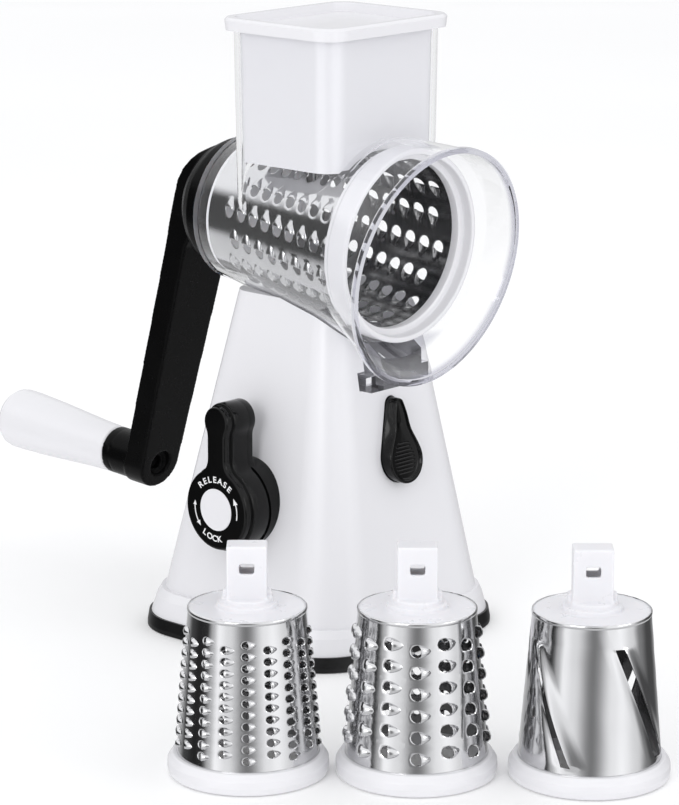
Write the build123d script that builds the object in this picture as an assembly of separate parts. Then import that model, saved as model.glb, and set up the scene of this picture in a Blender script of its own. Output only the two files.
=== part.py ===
from build123d import *
import math
import os

os.makedirs("parts", exist_ok=True)

# ---------------------------------------------------------------- dimensions
# Frame: +Z up, floor at z = 0, origin on the floor under the middle of the
# base. The open end of the drum faces -Y, the crank is at +Y, the suction
# lever is on the -X face.

# tower (tapered rounded square)
TOWER_Z0, TOWER_Z1 = 7.0, 168.0
TOWER_WALL = 2.6
SKIRT_Z = 19.0
CHANNEL_HX = 24.0
CHANNEL_Z0 = 120.0

# suction foot
FOOT_HALF, FOOT_R, FOOT_H = 69.2, 32.4, 7.0
PLATE_T = 3.0

# drum axis
AXIS_Z = 198.6
AXIS_TILT = 3.4

# clear housing
BARREL_R_FRONT, BARREL_S_FRONT = 50.0, -48.0
BARREL_R_BACK, BARREL_S_BACK = 35.5, 48.6
HOUSING_WALL = 2.0
BACK_WALL_T = 2.5
BEARING_R = 16.95
FLARE_RX, FLARE_RV = 56.6, 57.8
FLARE_Y, FLARE_Z, FLARE_TILT = -76.3, 187.2, 10.2
CHUTE_HX, CHUTE_HY, CHUTE_CY, CHUTE_R = 40.9, 33.9, -11.6, 11.0
CHUTE_TOP = 293.6
RAIL_WEB, RAIL_HALF = 15.0, 20.0
RAIL_Z0, RAIL_Z1 = 127.0, 135.0
RAIL_Y0, RAIL_Y1 = -52.5, 18.0
RAIL_GAP = 0.4

# pusher
LID_HX, LID_HY, LID_R, LID_TOP, LID_T = 44.3, 37.3, 12.0, 300.0, 6.0
PUSH_GAP = 0.5

# drums (the fitted one; the loose ones are DRUM_K of it)
RING_R, RING_H = 46.0, 14.0
STEEL_R0, STEEL_R1 = 40.9, 33.5
STEEL_Z0, STEEL_Z1 = 8.0, 100.0
STEEL_T = 0.7
DRUM_S0 = -60.0
DRUM_K = 0.76
TANG_W, TANG_D, TANG_L, TANG_WALL = 17.2, 12.0, 23.0, 2.2

# crank
SLEEVE_R = 16.9
CRANK_THROW = 144.75
ARM_W_TOP, ARM_W_END = 16.8, 13.0
HUB_R = 33.0
BOSS_R, BOSS_S1 = 12.0, 133.6
GRIP_S0, GRIP_LEN, GRIP_R0, GRIP_R1 = 133.9, 72.0, 12.0, 15.6
GRIP_BORE, BOLT_R = 3.56, 3.5

# suction lever
LEVER_Z = 70.8
LEVER_FACE, LEVER_BACK, LEVER_ARM_BACK = -71.5, -56.4, -53.2
LEVER_R, LEVER_TIP_Z, LEVER_TIP_R, LEVER_NECK = 21.0, 114.0, 8.0, 6.1
SHAFT_R, SHAFT_BORE = 5.0, 5.05
CAM_R, CAM_E = 11.0, 5.0
YOKE_GAP_LOW, YOKE_GAP_TOP = 1.3, 0.3
PLUNGER_LIFT = 5.0

# release button
BTN_TIP_Z, BTN_BULB_Z, BTN_BULB_R, BTN_TIP_R = 117.0, 92.0, 11.5, 4.0
BTN_TRAVEL = 3.5

# loose drums: place on the floor and turn about Z
LOOSE = {"fine": (-178.2, -124.3), "coarse": (-130.3, -178.7), "slicer": (-82.5, -235.6)}
LOOSE_TURN = -47.4

C3 = (Align.CENTER, Align.CENTER, Align.MIN)
ct, st = math.cos(math.radians(AXIS_TILT)), math.sin(math.radians(AXIS_TILT))
# local frame on the drum axis: x as the object, y downward, z (= s) backward
AX = Plane(origin=(0, 0, AXIS_Z), x_dir=(1, 0, 0), z_dir=(0, ct, st)).location


def cyl(r, z0, z1):
    return Pos(0, 0, z0) * Cylinder(r, z1 - z0, align=C3)


def cone(r0, r1, z0, z1):
    if abs(r0 - r1) < 1e-6:
        return cyl(r0, z0, z1)
    return Pos(0, 0, z0) * Cone(r0, r1, z1 - z0, align=C3)


def xcyl(r, x0, x1, y, z):
    return Pos(x0, y, z) * Rot(0, 90, 0) * Cylinder(r, x1 - x0, align=C3)


def bx(x0, x1, y0, y1, z0, z1):
    return Pos(x0, y0, z0) * Box(x1 - x0, y1 - y0, z1 - z0, align=(Align.MIN, Align.MIN, Align.MIN))


def rr(z, hx, hy, r, cy=0.0):
    return Pos(0, cy, z) * RectangleRounded(2 * hx, 2 * hy, r)


def rloft(sections):
    return loft([rr(*s) for s in sections], ruled=True)


def spin(points):
    """Solid of revolution about local Z from (r, z) points."""
    f = make_face(Polyline(*[(r, 0, z) for r, z in points], close=True))
    return revolve(f, axis=Axis.Z, revolution_arc=360)


def tsec(z, inset=0.0):
    a = 63.5 - 0.185 * z - inset
    yf = -(67.4 - 0.174 * z) + inset
    yb = 66.0 - 0.223 * z - inset
    r = max(28.0 - 0.095 * z - inset, 3.0)
    return (z, a, (yb - yf) / 2, r, (yb + yf) / 2)


def rad(s, r0, s0, r1, s1):
    return r0 + (r1 - r0) * (s - s0) / (s1 - s0)


def barrel_r(s):
    return rad(s, BARREL_R_FRONT, BARREL_S_FRONT, BARREL_R_BACK, BARREL_S_BACK)


def teardrop(grow, y0, y1):
    """Teardrop with level sides, cut off parallel to the sloping front wall
    at depths y0 and y1 from it."""
    R, r = BTN_BULB_R + grow, BTN_TIP_R + grow
    dz = BTN_TIP_Z - BTN_BULB_Z
    a = math.asin((R - r) / dz)
    pts = []
    for i in range(0, 25):
        t = -a + (math.pi + 2 * a) * i / 24.0
        pts.append((-R * math.cos(t), BTN_BULB_Z - R * math.sin(t)))
    for i in range(0, 17):
        t = math.pi + a + (math.pi - 2 * a) * i / 16.0
        pts.append((-r * math.cos(t), BTN_TIP_Z - r * math.sin(t)))
    f = make_face(Polyline(*[(x, -75, z) for x, z in pts], close=True))
    p = extrude(f, amount=50, dir=(0, 1, 0))
    slope = math.degrees(math.atan(0.174))
    slab = Pos(0, -(67.4 - 0.174 * 104.0), 104.0) * Rot(-slope, 0, 0) * bx(-40, 40, y0, y1, -60, 60)
    return p & slab


nodes = {}


def put(name, shape, colour=None):
    nodes[name] = shape


# ---------------------------------------------------------------- root: tower
outer = rloft([tsec(TOWER_Z0), tsec(TOWER_Z1)])
skirt = rloft([(TOWER_Z0, 67.2, 67.2, 30.5, 0.0), (15.0, 64.6, 65.8, 29.5, -0.4), (SKIRT_Z, 62.2, 64.4, 28.0, -0.8)])
inner = rloft([tsec(TOWER_Z0 - 1, TOWER_WALL), tsec(TOWER_Z1 + 1, TOWER_WALL)])
saddle_r = 0.5
saddle = AX * cone(barrel_r(-70) + saddle_r, barrel_r(60) + saddle_r, -70, 60)
crown = AX * cone(barrel_r(-70) + saddle_r + 3.0, barrel_r(60) + saddle_r + 3.0, -70, 60)
tower = (outer + skirt) - (inner - crown)
channel = bx(-CHANNEL_HX, CHANNEL_HX, -60, 23, CHANNEL_Z0, TOWER_Z1) & outer
tower += channel
for sx in (-1, 1):
    for sy in (-1, 1):
        post = Pos(sx * 40, sy * 42 - 1, TOWER_Z0 + PLATE_T + 0.2) * Cylinder(5, 120, align=C3)
        tower += post & outer
# lever shaft bearings, one in each side wall
tower += xcyl(9, -62, -30, 0, LEVER_Z) & outer
tower += xcyl(9, 24, 62, 0, LEVER_Z) & outer
# latch spring shelf
tower += bx(-7, 7, -56, -30, 70, 73) & outer
tower -= saddle
tower -= bx(-RAIL_HALF - RAIL_GAP, RAIL_HALF + RAIL_GAP, -70, RAIL_Y1 + 1, RAIL_Z0 - RAIL_GAP, RAIL_Z1 + RAIL_GAP)
tower -= bx(-RAIL_WEB - RAIL_GAP, RAIL_WEB + RAIL_GAP, -70, RAIL_Y1 + 1, RAIL_Z1, 175)
tower -= bx(-4.9, 4.9, -41.2, -32.8, CHANNEL_Z0 - 1, RAIL_Z0)
tower -= teardrop(0.5, -9.0, 5.6)
tower -= xcyl(SHAFT_BORE, -70, 40, 0, LEVER_Z)
for sx in (-1, 1):
    for sy in (-1, 1):
        tower -= Pos(sx * 40, sy * 42 - 1, 0) * cyl(1.6, 5, 26)
tower -= cyl(200, -5, TOWER_Z0)
put("tower_shell", tower)

# base plate, screwed to the four posts
plate = rloft([(TOWER_Z0 + 0.2, 56.5, 56.5, 23.0, -0.6), (TOWER_Z0 + 0.2 + PLATE_T, 56.0, 56.0, 22.5, -0.6)])
plate -= cyl(14, 0, 20)
screws = None
for sx in (-1, 1):
    for sy in (-1, 1):
        x, y = sx * 40, sy * 42 - 1
        plate -= Pos(x, y, 0) * cyl(1.7, 5, 12)
        s = Pos(x, y, 0) * (cyl(1.55, 7.2, 24) + cyl(3.3, 5.2, 7.2))
        screws = s if screws is None else screws + s
put("base_plate", plate)
put("base_screws", screws)

# rubber suction foot: lip, sealing floor and a raised boss in the middle
foot = rloft([(0, FOOT_HALF, FOOT_HALF, FOOT_R, 0), (2.0, FOOT_HALF, FOOT_HALF, FOOT_R, 0),
              (FOOT_H, FOOT_HALF - 0.9, FOOT_HALF - 0.9, FOOT_R - 0.9, 0)])
foot -= rloft([(4.4, 58.5, 58.5, 25, 0), (8, 58.5, 58.5, 25, 0)])
foot += cyl(11, 4.0, 12.0)
foot -= cyl(3.0, 6.0, 13.0)
put("suction_foot", foot)

# black collar that carries the lever on the sloping wall
collar = xcyl(21.5, -56.0, -42.0, 0, LEVER_Z) - outer - xcyl(SHAFT_BORE + 0.1, -60, -40, 0, LEVER_Z)
put("lever_collar", collar)

# ---------------------------------------------------------------- suction lever
disc = xcyl(LEVER_R, LEVER_FACE, LEVER_BACK, 0, LEVER_Z)


def yz_prism(pts, x0, x1):
    f = make_face(Polyline(*[(x0, y, z) for y, z in pts], close=True))
    return extrude(f, amount=x1 - x0, dir=(1, 0, 0))


neck_pts = [(-LEVER_NECK, LEVER_Z), (-LEVER_NECK - 5.5, LEVER_Z + 15.0), (-LEVER_NECK - 2.0, LEVER_Z + 20.5),
            (-LEVER_NECK, LEVER_Z + 25.0), (-LEVER_NECK, LEVER_TIP_Z - 7.0), (-LEVER_TIP_R + 0.4, LEVER_TIP_Z - 2.5),
            (LEVER_TIP_R - 0.4, LEVER_TIP_Z - 2.5), (LEVER_NECK, LEVER_TIP_Z - 7.0), (LEVER_NECK, LEVER_Z + 25.0),
            (LEVER_NECK + 2.0, LEVER_Z + 20.5), (LEVER_NECK + 5.5, LEVER_Z + 15.0), (LEVER_NECK, LEVER_Z)]
neck = yz_prism(neck_pts, LEVER_FACE, LEVER_ARM_BACK)
tip = xcyl(LEVER_TIP_R, LEVER_FACE, LEVER_ARM_BACK, 0, LEVER_TIP_Z)
lever = disc + neck + tip
lever -= xcyl(22.4, LEVER_BACK, -40, 0, LEVER_Z)
lever -= xcyl(SHAFT_R, -62.0, -50, 0, LEVER_Z)
lever -= xcyl(2.1, -66.5, -60, 0, LEVER_Z)
lever -= xcyl(10.3, -80, -69.0, 0, LEVER_Z)
lever -= xcyl(5.2, -80, -66.0, 0, LEVER_Z)
put("suction_lever", lever)
put("lever_cap", xcyl(10.2, -71.9, -69.0, 0, LEVER_Z))
put("lever_screw", xcyl(4.5, -68.6, -66.0, 0, LEVER_Z) + xcyl(1.9, -66.0, -52.0, 0, LEVER_Z))
put("lever_shaft", xcyl(SHAFT_R, -62.0, 34.0, 0, LEVER_Z) - xcyl(1.9, -63, -51.5, 0, LEVER_Z))
put("lever_cam", xcyl(CAM_R, -3.6, 3.6, 0, LEVER_Z - CAM_E) - xcyl(SHAFT_R, -5, 5, 0, LEVER_Z))

# plunger with a yoke round the cam, bonded to the foot's boss
zc = LEVER_Z - CAM_E
zlo, zhi = zc - CAM_R - YOKE_GAP_LOW, zc + CAM_R + YOKE_GAP_TOP
yoke = bx(-4.5, 4.5, -20.6, 20.6, zlo - 4, zhi + 4) - bx(-6, 6, -16.6, 16.6, zlo, zhi)
plunger = yoke + cyl(6, 14.6, zlo - 3.9) + cyl(10.5, 12.3, 15.0)
put("suction_plunger", plunger)


# helical spring of round wire
def coil(r, wire, z0, z1, turns, x=0.0, y=0.0):
    pitch = (z1 - z0 - 2 * wire) / turns
    path = Helix(pitch=pitch, height=pitch * turns, radius=r)
    prof = Plane(origin=path @ 0, z_dir=path % 0) * Circle(wire)
    return Pos(x, y, z0 + wire) * sweep(prof, path=path)



# ---------------------------------------------------------------- release latch
BOLT_Y0, BOLT_Y1 = -41.0, -33.0
bolt = bx(-4.7, 4.7, BOLT_Y0, BOLT_Y1, 88, 130.2) + bx(-4.7, 4.7, -43.2, -29.0, 88, 112)
bolt -= Pos(0, BOLT_Y1, 130.2) * Rot(45, 0, 0) * Box(12, 3.4, 3.4)
pin_y, pin_z = -38.0, 98.0
half = BTN_TRAVEL / 2
bolt -= Pos(0, pin_y + half, pin_z + half) * Rot(45, 0, 0) * Box(12, BTN_TRAVEL * 1.4142 + 3.6, 3.5)
put("latch_bolt", bolt)
put("latch_spring", coil(2.9, 0.5, 73.1, 87.9, 5, 0, -37.0))
put("latch_pin", xcyl(1.5, -7.6, 7.6, pin_y, pin_z))


button = teardrop(0, -6.2, 0.6)
button -= teardrop(-2.0, -7.5, -4.9)
stem = bx(-8.6, 8.6, -52.0, -46.8, 93.0, 100.5)
fork = bx(-8.6, -5.2, -47.0, -34.8, 94.5, 100.5) + bx(5.2, 8.6, -47.0, -34.8, 94.5, 100.5)
button += stem + fork
button -= xcyl(1.5, -7.6, 7.6, pin_y, pin_z)
put("release_button", button)

# ---------------------------------------------------------------- clear housing
W = HOUSING_WALL
b_out = cone(barrel_r(BARREL_S_FRONT), barrel_r(BARREL_S_BACK), BARREL_S_FRONT, BARREL_S_BACK)
b_out += cyl(BARREL_R_BACK + 0.9, 45.6, BARREL_S_BACK)
b_in = cone(BARREL_R_FRONT - W, barrel_r(BARREL_S_BACK - BACK_WALL_T) - W, BARREL_S_FRONT, BARREL_S_BACK - BACK_WALL_T)

# flaring hood: from the barrel's front edge to a tilted oval rim
rim_plane = Plane(origin=(0, FLARE_Y, FLARE_Z), x_dir=(1, 0, 0),
                  z_dir=(0, math.cos(math.radians(FLARE_TILT)), math.sin(math.radians(FLARE_TILT))))
front_plane = Plane(AX * Pos(0, 0, BARREL_S_FRONT))
flare_out = loft([front_plane * Circle(BARREL_R_FRONT), rim_plane * Ellipse(FLARE_RX, FLARE_RV)], ruled=True)
rim_in = Plane(origin=rim_plane.origin - rim_plane.z_dir * 1.0, x_dir=rim_plane.x_dir, z_dir=rim_plane.z_dir)
flare_in = loft([front_plane * Circle(BARREL_R_FRONT - W), rim_in * Ellipse(FLARE_RX - W, FLARE_RV - W)], ruled=True)
rim_back = Plane(origin=rim_plane.origin + rim_plane.z_dir * 2.4, x_dir=rim_plane.x_dir, z_dir=rim_plane.z_dir)
rim_bead = extrude(rim_back * Ellipse(FLARE_RX + 0.5, FLARE_RV + 0.5), amount=2.4, dir=tuple(-rim_plane.z_dir))
flare_out += rim_bead

chute_out = rloft([(205.0, CHUTE_HX - 1.0, CHUTE_HY - 1.0, CHUTE_R, CHUTE_CY), (CHUTE_TOP, CHUTE_HX, CHUTE_HY, CHUTE_R, CHUTE_CY)])
chute_in = rloft([(196.0, CHUTE_HX - W - 1.1, CHUTE_HY - W - 1.1, CHUTE_R - W, CHUTE_CY),
                  (CHUTE_TOP + 2, CHUTE_HX - W, CHUTE_HY - W, CHUTE_R - W, CHUTE_CY)])
lower = AX * (Pos(0, 60, 0) * Box(140, 120, 140))
rail = bx(-RAIL_WEB, RAIL_WEB, RAIL_Y0, RAIL_Y1, RAIL_Z1 - 0.5, 166) + bx(-RAIL_HALF, RAIL_HALF, RAIL_Y0, RAIL_Y1, RAIL_Z0, RAIL_Z1)
rail -= bx(-5.2, 5.2, BOLT_Y0 - 0.5, BOLT_Y1 + 0.6, RAIL_Z0 - 1, RAIL_Z0 + 4.0)
void = AX * b_in + flare_in
housing = (AX * b_out) + flare_out + (chute_out - AX * cyl(30, -60, 60)) + rail
housing -= void
housing -= (chute_in - lower)
housing -= AX * cyl(BEARING_R, 40, 60)
put("clear_housing", housing)

# ---------------------------------------------------------------- pusher
G = PUSH_GAP
block = rloft([(231.8, CHUTE_HX - W - G - 1.1, CHUTE_HY - W - G - 1.1, CHUTE_R - W, CHUTE_CY),
               (CHUTE_TOP + 0.3, CHUTE_HX - W - G - 0.3, CHUTE_HY - W - G - 0.3, CHUTE_R - W, CHUTE_CY)])
block -= AX * cyl(42.6, -60, 60)
core = rloft([(244.0, CHUTE_HX - W - 4.2, CHUTE_HY - W - 4.2, CHUTE_R - W - 2.0, CHUTE_CY),
              (CHUTE_TOP + 1, CHUTE_HX - W - 3.2, CHUTE_HY - W - 3.2, CHUTE_R - W - 2.0, CHUTE_CY)])
put("pusher_block", block - core)
lid = rloft([(CHUTE_TOP + 0.3, LID_HX - 0.6, LID_HY - 0.6, LID_R - 0.6, CHUTE_CY), (LID_TOP - 1.2, LID_HX, LID_HY, LID_R, CHUTE_CY),
             (LID_TOP, LID_HX - 1.2, LID_HY - 1.2, LID_R - 1.2, CHUTE_CY)])
lid -= rloft([(LID_TOP - 4.2, LID_HX - 6.5, LID_HY - 6.5, LID_R - 5.5, CHUTE_CY), (LID_TOP + 0.5, LID_HX - 4.5, LID_HY - 4.5, LID_R - 4.0, CHUTE_CY)])
put("pusher_lid", lid)


# ---------------------------------------------------------------- drums
def drum(k, kind):
    """Drum standing on its ring at z = 0, tang up. Returns ring, steel, hub."""
    R, H = RING_R * k, RING_H * (0.66 if k < 1 else 1.0)
    z0, z1 = STEEL_Z0 * (0.75 if k < 1 else 1.0), STEEL_Z1 * (0.722 if k < 1 else 1.0)
    r0, r1 = STEEL_R0 * k, STEEL_R1 * k

    def rs(z):
        return rad(z, r0, z0, r1, z1)

    ring = spin([(r0 - 0.7, 0), (R - 1.5, 0), (R, 1.5), (R, H * 0.72), (R - 1.6, H * 0.86), (R - 1.6, H),
                 (rs(H) + 0.02, H), (rs(z0) + 0.02, z0), (r0 - 0.75, z0)])
    steel = spin([(r0, z0 + 0.02), (r1, z1), (r1 - STEEL_T, z1), (r0 - STEEL_T, z0 + 0.02)])
    tz = z1 + 1.6
    hub = cyl(rs(z1) - STEEL_T - 0.05 + 0.0, z1 - 3.4, z1) + cyl(r1 - 0.1, z1, tz)
    hub += cyl(13.0, tz, tz + 2.2) + cyl(11.0, tz + 2.2, tz + 4.6)
    t0 = tz + 4.6
    tang = Pos(0, 0, t0 - 0.5) * Box(TANG_W, TANG_D, TANG_L + 0.5, align=C3)
    tang -= Pos(0, 0, t0 + 1.5) * Box(TANG_W - 2 * TANG_WALL, TANG_D - 2 * TANG_WALL, TANG_L - 1.5 - 1.8, align=C3)
    tang -= Pos(0, 0, t0 + 11.0) * Box(6.3, 40, 4.4, align=C3)
    hub += tang
    hub -= cyl(r1 - STEEL_T - 3.2, z1 - 6, z1 - 1.4)
    if kind == "slicer":
        # four long slanting slicing slots
        for i in range(4):
            cut = Rot(0, 0, 90 * i - 41) * Pos(0, -(r0 + r1) / 2, (z0 + z1) / 2 - 1.3) * Rot(0, -23, 0) * Box(3.4, 16, (z1 - z0) * 0.8)
            steel -= cut
    return ring, steel, hub


ring, steel, hub = drum(1.0, "mounted")
MOUNT = AX * Pos(0, 0, DRUM_S0)
put("fitted_drum_ring", MOUNT * ring)
put("fitted_drum_steel", MOUNT * steel)
put("fitted_drum_hub", MOUNT * hub)
for kind, (x, y) in LOOSE.items():
    ring, steel, hub = drum(DRUM_K, kind)
    L = Pos(x, y, 0) * Rot(0, 0, LOOSE_TURN)
    put(kind + "_drum_ring", L * ring)
    put(kind + "_drum_steel", L * steel)
    put(kind + "_drum_hub", L * hub)

# ---------------------------------------------------------------- crank
# side view of the arm: s backward, u upward from the drum axis
side_top = [(50.7, 33.0), (57.0, 31.2), (62.3, 28.3), (67.8, 24.8), (72.3, 20.6), (76.4, 15.7), (79.7, 10.0), (82.0, 2.0),
            (84.2, -8.0), (88.8, -30.3)]
side = [(s, u) for s, u in side_top] + [(118.6, -157.9), (105.2, -157.9), (74.0, -24.0), (66.0, -10.0), (50.7, -10.0)]
f = make_face(Polyline(*[(-20, -u, s) for s, u in side], close=True))
arm_side = extrude(f, amount=40, dir=(1, 0, 0))
front = [(-ARM_W_TOP, 18.0), (-ARM_W_TOP, 6.0), (-ARM_W_END, -CRANK_THROW)]
for i in range(1, 24):
    t = math.pi + math.pi * i / 24.0
    front.append((ARM_W_END * math.cos(t), -CRANK_THROW + ARM_W_END * math.sin(t)))
front += [(ARM_W_END, -CRANK_THROW), (ARM_W_TOP, 6.0), (ARM_W_TOP, 18.0)]
for i in range(1, 16):
    t = math.pi * i / 16.0
    front.append((ARM_W_TOP * math.cos(t), 18.0 + 15.4 * math.sin(t)))
f = make_face(Polyline(*[(x, -u, 45) for x, u in front], close=True))
arm_front = extrude(f, amount=90, dir=(0, 0, 1))
arm = arm_side & arm_front
hub_dome = spin([(0, 50.7), (HUB_R - 1.0, 50.7), (HUB_R, 51.7), (HUB_R - 0.3, 57.0), (30.2, 62.0), (26.0, 67.0), (19.5, 72.5), (12.0, 76.5), (0, 79.0)])
sleeve = cyl(SLEEVE_R, 44.0, 51.0) - (cyl(30, 44.9, 45.95) - cyl(15.9, 44, 47))
hboss = Pos(0, CRANK_THROW, 0) * cyl(BOSS_R, 104.5, BOSS_S1)
hboss -= Pos(0, CRANK_THROW, 0) * (cyl(40, BOSS_S1 - 5.4, BOSS_S1 - 4.4) - cyl(BOSS_R - 0.8, 100, BOSS_S1))
inner_cut = make_face(Polyline(*[(-20, -u, s) for s, u in [(60.0, -157.9), (105.2, -157.9), (74.0, -24.0), (60, -24)]], close=True))
crank = arm + hub_dome + sleeve + (hboss - extrude(inner_cut, amount=40, dir=(1, 0, 0)))
crank -= Pos(0, 0, 43) * Box(TANG_W + 0.3, TANG_D + 0.3, 29.0, align=C3)
crank -= cyl(13.3, 40, 44.6)
crank -= cyl(11.3, 44.0, 47.0)
crank -= Pos(0, CRANK_THROW, 0) * cyl(BOLT_R, 100, 140)
crank -= Pos(0, CRANK_THROW, 0) * cyl(6.5, 90, 105.5)
put("crank_arm", AX * crank)
put("crank_clip", AX * (cyl(18.8, 44.95, 45.9) - cyl(15.9, 44, 47) - bx(-4, 4, -30, -5, 44, 47)))
GX = AX * Pos(0, CRANK_THROW, 0)
s_end = GRIP_S0 + GRIP_LEN
put("handle_bolt", GX * (cyl(BOLT_R, 108.0, s_end - 6.0) + cyl(7.0, s_end - 6.0, s_end - 2.6) - Pos(0, 0, s_end - 4.4) * Box(1.4, 12, 4)))
grip = spin([(GRIP_BORE, GRIP_S0), (GRIP_R0 - 0.6, GRIP_S0), (GRIP_R0, GRIP_S0 + 0.8), (GRIP_R0 + 0.5, GRIP_S0 + 14), (GRIP_R1 - 0.9, s_end - 26),
             (GRIP_R1, s_end - 6), (GRIP_R1, s_end), (12.2, s_end), (12.2, s_end - 2.2), (7.6, s_end - 2.2), (7.6, s_end - 6.3), (GRIP_BORE, s_end - 6.3)])
put("grip", GX * grip)
cap = spin([(0, s_end - 2.1), (12.15, s_end - 2.1), (12.15, s_end + 0.1), (GRIP_R1 - 0.1, s_end + 0.1), (GRIP_R1 - 0.4, s_end + 2.2), (13.6, s_end + 4.6),
            (10.5, s_end + 6.4), (6.0, s_end + 7.5), (0, s_end + 7.9)])
put("grip_cap", GX * cap)

# ---------------------------------------------------------------- output
for name, shape in nodes.items():
    export_step(shape, "parts/" + name + ".step")
    print(name, round(shape.volume / 1000.0, 2), "cm3", len(shape.solids()), "solids")
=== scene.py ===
import math

import bpy
import bmesh
import numpy as np
from mathutils import Matrix, Vector


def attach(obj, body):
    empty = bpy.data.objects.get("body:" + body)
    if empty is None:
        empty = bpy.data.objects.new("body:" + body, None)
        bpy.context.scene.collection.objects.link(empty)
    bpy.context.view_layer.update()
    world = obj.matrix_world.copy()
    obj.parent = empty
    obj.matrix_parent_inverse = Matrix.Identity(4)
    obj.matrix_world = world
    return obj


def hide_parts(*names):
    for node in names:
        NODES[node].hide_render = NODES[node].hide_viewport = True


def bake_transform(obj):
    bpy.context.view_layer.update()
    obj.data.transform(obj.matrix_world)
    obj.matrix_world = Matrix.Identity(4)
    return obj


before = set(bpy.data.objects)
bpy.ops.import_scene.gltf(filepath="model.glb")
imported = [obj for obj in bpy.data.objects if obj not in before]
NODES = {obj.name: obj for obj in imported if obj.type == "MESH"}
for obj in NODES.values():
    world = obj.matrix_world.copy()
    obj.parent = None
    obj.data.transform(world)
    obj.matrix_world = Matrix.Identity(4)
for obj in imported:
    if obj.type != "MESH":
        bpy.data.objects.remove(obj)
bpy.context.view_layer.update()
SCENE = bpy.context.scene
MM = 0.001

# ------------------------------------------------------------------ camera
cam_data = bpy.data.cameras.new("shot")
cam = bpy.data.objects.new("shot", cam_data)
SCENE.collection.objects.link(cam)
cam_data.sensor_width = 36.0
cam_data.sensor_fit = "AUTO"
cam_data.lens = 151.13
cam_data.clip_start, cam_data.clip_end = 0.05, 60.0
cam.location = (-1.1665, -1.0878, 0.5001)
cam.rotation_mode = "QUATERNION"
cam.rotation_quaternion = Vector((0.7146, 0.6580, -0.2374)).to_track_quat("-Z", "Y")
SCENE.camera = cam


# ------------------------------------------------------------------ node helpers
def material(name):
    m = bpy.data.materials.new(name)
    m.use_nodes = True
    nt = m.node_tree
    nt.nodes.clear()
    out = nt.nodes.new("ShaderNodeOutputMaterial")
    p = nt.nodes.new("ShaderNodeBsdfPrincipled")
    nt.links.new(p.outputs[0], out.inputs["Surface"])
    return m, nt, p, out


def coords(nt, scale=(1, 1, 1)):
    tc = nt.nodes.new("ShaderNodeTexCoord")
    mp = nt.nodes.new("ShaderNodeMapping")
    mp.inputs["Scale"].default_value = scale
    nt.links.new(tc.outputs["Object"], mp.inputs["Vector"])
    return mp.outputs["Vector"]


def noise(nt, vec, scale, detail=3.0, rough=0.5, distort=0.0):
    n = nt.nodes.new("ShaderNodeTexNoise")
    nt.links.new(vec, n.inputs["Vector"])
    n.inputs["Scale"].default_value = scale
    n.inputs["Detail"].default_value = detail
    n.inputs["Roughness"].default_value = rough
    n.inputs["Distortion"].default_value = distort
    return n.outputs["Fac"]


def spread(nt, fac, lo, hi, a=0.3, b=0.7):
    n = nt.nodes.new("ShaderNodeMapRange")
    nt.links.new(fac, n.inputs["Value"])
    n.inputs["From Min"].default_value = a
    n.inputs["From Max"].default_value = b
    n.inputs["To Min"].default_value = lo
    n.inputs["To Max"].default_value = hi
    return n.outputs["Result"]


def two_tone(nt, fac, c0, c1, a=0.3, b=0.7):
    n = nt.nodes.new("ShaderNodeValToRGB")
    nt.links.new(fac, n.inputs["Fac"])
    n.color_ramp.elements[0].position = a
    n.color_ramp.elements[0].color = (*c0, 1)
    n.color_ramp.elements[1].position = b
    n.color_ramp.elements[1].color = (*c1, 1)
    return n.outputs["Color"]


def bump(nt, p, fac, strength, dist):
    n = nt.nodes.new("ShaderNodeBump")
    nt.links.new(fac, n.inputs["Height"])
    n.inputs["Strength"].default_value = strength
    n.inputs["Distance"].default_value = dist
    nt.links.new(n.outputs["Normal"], p.inputs["Normal"])


def moulded(name, c0, c1, r0, r1, grain=2200.0, depth=0.00001, cloud=14.0, sss=0.0, sss_r=0.004, ior=1.5, spec=0.5):
    """Injection moulded plastic: faint cloudy colour, uneven gloss, fine skin."""
    m, nt, p, _ = material(name)
    v = coords(nt)
    big = noise(nt, v, cloud, 2.0)
    nt.links.new(two_tone(nt, big, c0, c1), p.inputs["Base Color"])
    mid = noise(nt, v, 90.0, 4.0, 0.6)
    nt.links.new(spread(nt, mid, r0, r1), p.inputs["Roughness"])
    fine = noise(nt, v, grain, 2.0)
    bump(nt, p, fine, 0.15, depth)
    p.inputs["IOR"].default_value = ior
    p.inputs["Specular IOR Level"].default_value = spec
    if sss:
        p.inputs["Subsurface Weight"].default_value = sss
        p.inputs["Subsurface Radius"].default_value = (1.0, 0.9, 0.85)
        p.inputs["Subsurface Scale"].default_value = sss_r
    return m


M_WHITE = moulded("white_abs", (0.790, 0.785, 0.812), (0.802, 0.798, 0.824), 0.235, 0.265, cloud=5.0)
M_MILKY = moulded("milky_plastic", (0.80, 0.795, 0.825), (0.83, 0.825, 0.855), 0.26, 0.33, sss=0.35, sss_r=0.003)
M_SATIN = moulded("black_satin", (0.0022, 0.0022, 0.0023), (0.0032, 0.0032, 0.0033), 0.24, 0.31, grain=3200.0, depth=0.00002, spec=0.06)
M_GLOSS = moulded("black_gloss", (0.0022, 0.0022, 0.0023), (0.0032, 0.0032, 0.0033), 0.13, 0.17, grain=3200.0, spec=0.22)
M_FLAT = moulded("black_flat", (0.0022, 0.0022, 0.0023), (0.0034, 0.0034, 0.0035), 0.28, 0.36, grain=4200.0, depth=0.00002, spec=0.06)
M_RUBBER = moulded("foot_rubber", (0.004, 0.004, 0.0042), (0.006, 0.006, 0.0062), 0.32, 0.42, grain=1400.0, depth=0.00003, spec=0.3)
M_GREY = moulded("grey_nylon", (0.16, 0.16, 0.17), (0.20, 0.20, 0.21), 0.38, 0.50, grain=1500.0, depth=0.00004)
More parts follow.
